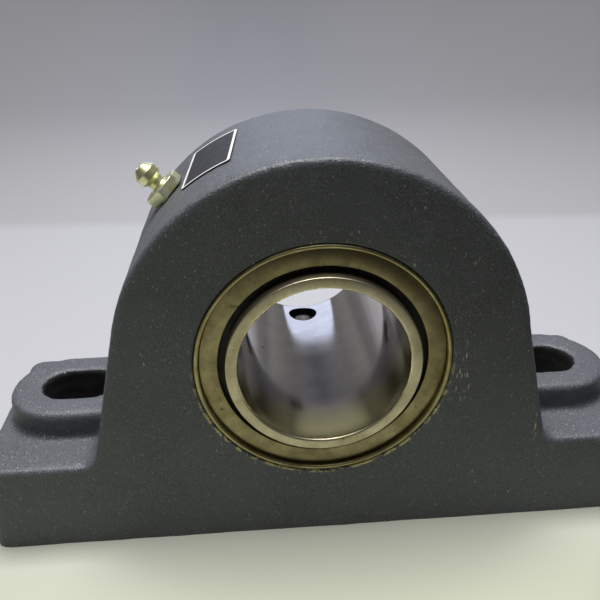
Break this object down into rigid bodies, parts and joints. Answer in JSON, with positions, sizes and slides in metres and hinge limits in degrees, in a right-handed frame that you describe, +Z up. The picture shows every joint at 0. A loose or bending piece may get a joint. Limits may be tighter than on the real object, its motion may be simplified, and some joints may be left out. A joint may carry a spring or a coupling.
{
  "type": "pillow block bearing",
  "caption": "Cast pillow block with slotted feet round a self-aligning double-row roller bearing, sealed on both sides, with a locking collar and a grease fitting.",
  "frame": {"origin": "on the underside of the base, midway between the two bolt slots and straight below the bearing's centre", "axes": "+X along the base, to the right when seen from the end without a collar; +Y along the shaft towards the locking collar; +Z up"},
  "size_m": [0.1858, 0.0805, 0.1078],
  "materials": {
    "enamelled_cast_iron": "dark grey enamel over a rough sand-cast surface",
    "coated_steel": "turned steel with a dull yellow-olive conversion coating",
    "washer_steel": "pressed steel with a darker olive conversion coating",
    "bearing_steel": "ground and polished bearing steel",
    "black_steel": "black oxide",
    "cage_brass": "machined brass",
    "seal_rubber": "black nitrile rubber",
    "yellow_zinc": "steel with pale yellow zinc plating",
    "plate_foil": "dark coated foil plate with a thin pale border, no words"
  },
  "bodies": {
    "block": {"housing": "enamelled_cast_iron", "outer_ring": "bearing_steel", "lock_pin": "bearing_steel", "front_seal_carrier": "coated_steel", "rear_seal_carrier": "coated_steel", "front_seal_washer": "washer_steel", "rear_seal_washer": "washer_steel", "snap_ring": "black_steel", "grease_fitting": "yellow_zinc", "check_spring": "bearing_steel", "nameplate": "plate_foil"},
    "floating_seals": {"front_seal": "seal_rubber", "rear_seal": "seal_rubber"},
    "shaft_ring": {"inner_ring": "coated_steel", "locking_collar": "coated_steel"},
    "roller_set": {"front_rollers": "bearing_steel", "rear_rollers": "bearing_steel", "front_cage": "cage_brass", "rear_cage": "cage_brass", "guide_ring": "bearing_steel"},
    "lower_screw": {"lower_set_screw": "black_steel"},
    "upper_screw": {"upper_set_screw": "black_steel"},
    "grease_ball": {"check_ball": "bearing_steel"}
  },
  "joints": [
    {"name": "align_tilt", "type": "hinge", "parent": "block", "child": "floating_seals", "pos_m": [0, 0, 0.05398], "axis": [1, 0, 0], "range_deg": [-1.5, 1.5]},
    {"name": "shaft_spin", "type": "hinge", "parent": "floating_seals", "child": "shaft_ring", "pos_m": [0, 0, 0.05398], "axis": [0, 1, 0], "continuous": true},
    {"name": "roller_orbit", "type": "hinge", "parent": "floating_seals", "child": "roller_set", "pos_m": [0, 0, 0.05398], "axis": [0, 1, 0], "continuous": true},
    {"name": "lower_screw_drive", "type": "slide", "parent": "shaft_ring", "child": "lower_screw", "axis": [0, 0, 1], "range_m": [-0.0025, 0.0019]},
    {"name": "upper_screw_drive", "type": "slide", "parent": "shaft_ring", "child": "upper_screw", "axis": [-0.866, 0, -0.5], "range_m": [-0.0025, 0.0019]},
    {"name": "ball_lift", "type": "slide", "parent": "block", "child": "grease_ball", "axis": [0.7071, 0, -0.7071], "range_m": [0, 0.001], "stiffness_N_per_m": 200, "deforming": ["check_spring"]}
  ],
  "couplings": [
    {"joint": "roller_orbit", "follows": "shaft_spin", "ratio": 0.4251}
  ]
}
